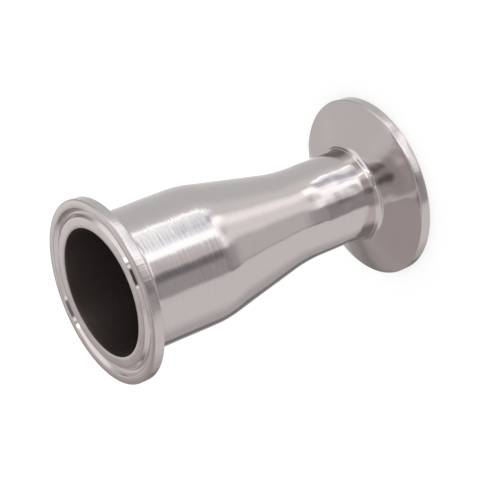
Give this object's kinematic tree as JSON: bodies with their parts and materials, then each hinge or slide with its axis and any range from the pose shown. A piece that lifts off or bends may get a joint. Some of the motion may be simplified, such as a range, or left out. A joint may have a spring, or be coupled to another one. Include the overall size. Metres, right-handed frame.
{
  "type": "sanitary concentric reducer",
  "caption": "Straight hygienic pipe reducer: a tube tapering evenly to a narrower one, with a flat grooved clamp ferrule at each end.",
  "frame": {"origin": "centre of the small ferrule's sealing face, which it stands on", "axes": "+Z along the bore axis, from the small ferrule up to the large end; X and Y are alike, because the part is round"},
  "size_m": [0.0505, 0.0504, 0.089],
  "materials": {
    "stainless_steel": "polished bright on a belt, with fine lines running round the axis; the bore duller and darker"
  },
  "bodies": {
    "root": {"reducer_body": "stainless_steel"}
  },
  "joints": []
}
